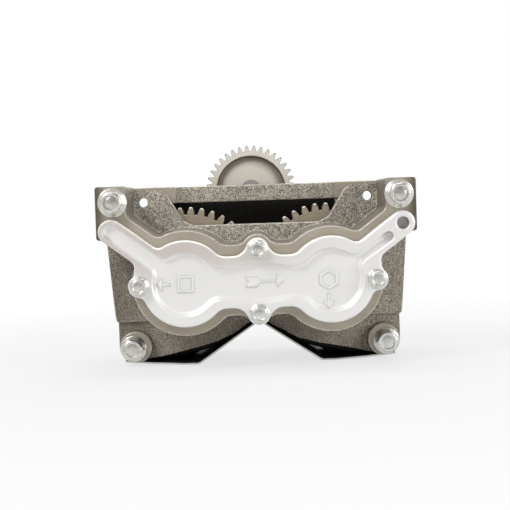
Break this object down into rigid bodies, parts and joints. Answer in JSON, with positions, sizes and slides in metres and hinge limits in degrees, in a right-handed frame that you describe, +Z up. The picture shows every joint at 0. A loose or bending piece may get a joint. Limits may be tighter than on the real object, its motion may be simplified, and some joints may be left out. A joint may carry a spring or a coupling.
{
  "type": "engine balancer",
  "caption": "Twin-shaft engine balancer: lobed iron casting with an aluminium end cover, meshed timing gears, half-moon weights, drive gear, dished idler and splash tray.",
  "frame": {"origin": "middle of the four block bolt holes, on the block face at the top of the castings", "axes": "+X across the engine to the right seen from the cover, +Y back along the shafts, +Z up to the engine block"},
  "size_m": [0.279, 0.1991, 0.2031],
  "materials": {
    "casting_iron": "sand cast, machined faces",
    "cover_aluminium": "matte die cast",
    "gasket_paper": "pressed gasket paper",
    "bolt_zinc": "bright zinc plate",
    "ground_steel": "ground",
    "bush_bronze": "bearing bronze",
    "gear_steel": "satin, warm tint",
    "nut_steel": "dark phosphate",
    "weight_iron": "cast, turned edge",
    "tray_sheet": "pressed sheet"
  },
  "bodies": {
    "housing": {"front_housing": "casting_iron", "rear_housing": "casting_iron", "idler_bracket": "casting_iron", "end_cover": "cover_aluminium", "cover_gasket": "gasket_paper", "cover_bolts": "bolt_zinc", "upper_casting_bolts": "bolt_zinc", "lower_casting_bolts": "bolt_zinc", "bracket_bolts": "bolt_zinc", "tray_screws": "bolt_zinc", "idler_bolt": "bolt_zinc", "locating_dowels": "ground_steel", "idler_spindle": "ground_steel", "idler_washer": "ground_steel", "front_bush_left": "bush_bronze", "front_bush_right": "bush_bronze", "rear_bush_left": "bush_bronze", "rear_bush_right": "bush_bronze", "front_thrust_washer_left": "bush_bronze", "front_thrust_washer_right": "bush_bronze", "rear_thrust_washer_left": "bush_bronze", "rear_thrust_washer_right": "bush_bronze", "idler_thrust_washer": "bush_bronze", "splash_tray": "tray_sheet"},
    "left_shaft": {"left_balance_shaft": "ground_steel", "left_timing_gear": "gear_steel", "left_gear_key": "ground_steel", "left_weight": "weight_iron", "left_weight_key": "ground_steel", "drive_gear": "gear_steel", "drive_gear_key": "ground_steel", "drive_gear_washer": "ground_steel", "drive_gear_nut": "nut_steel"},
    "right_shaft": {"right_balance_shaft": "ground_steel", "right_timing_gear": "gear_steel", "right_gear_key": "ground_steel", "right_weight": "weight_iron", "right_weight_key": "ground_steel", "right_retaining_ring": "ground_steel"},
    "idler": {"idler_gear": "gear_steel", "idler_bush": "bush_bronze"}
  },
  "joints": [
    {"name": "left_shaft_spin", "type": "hinge", "parent": "housing", "child": "left_shaft", "pos_m": [-0.0635, 0, -0.086], "axis": [0, 1, 0], "continuous": true},
    {"name": "right_shaft_spin", "type": "hinge", "parent": "housing", "child": "right_shaft", "pos_m": [0.0635, 0, -0.086], "axis": [0, 1, 0], "continuous": true},
    {"name": "idler_spin", "type": "hinge", "parent": "housing", "child": "idler", "pos_m": [-0.0035, 0.046, -0.00444], "axis": [0, 1, 0], "continuous": true}
  ],
  "couplings": [
    {"joint": "right_shaft_spin", "follows": "left_shaft_spin", "ratio": -1},
    {"joint": "idler_spin", "follows": "left_shaft_spin", "ratio": -1.4324}
  ]
}
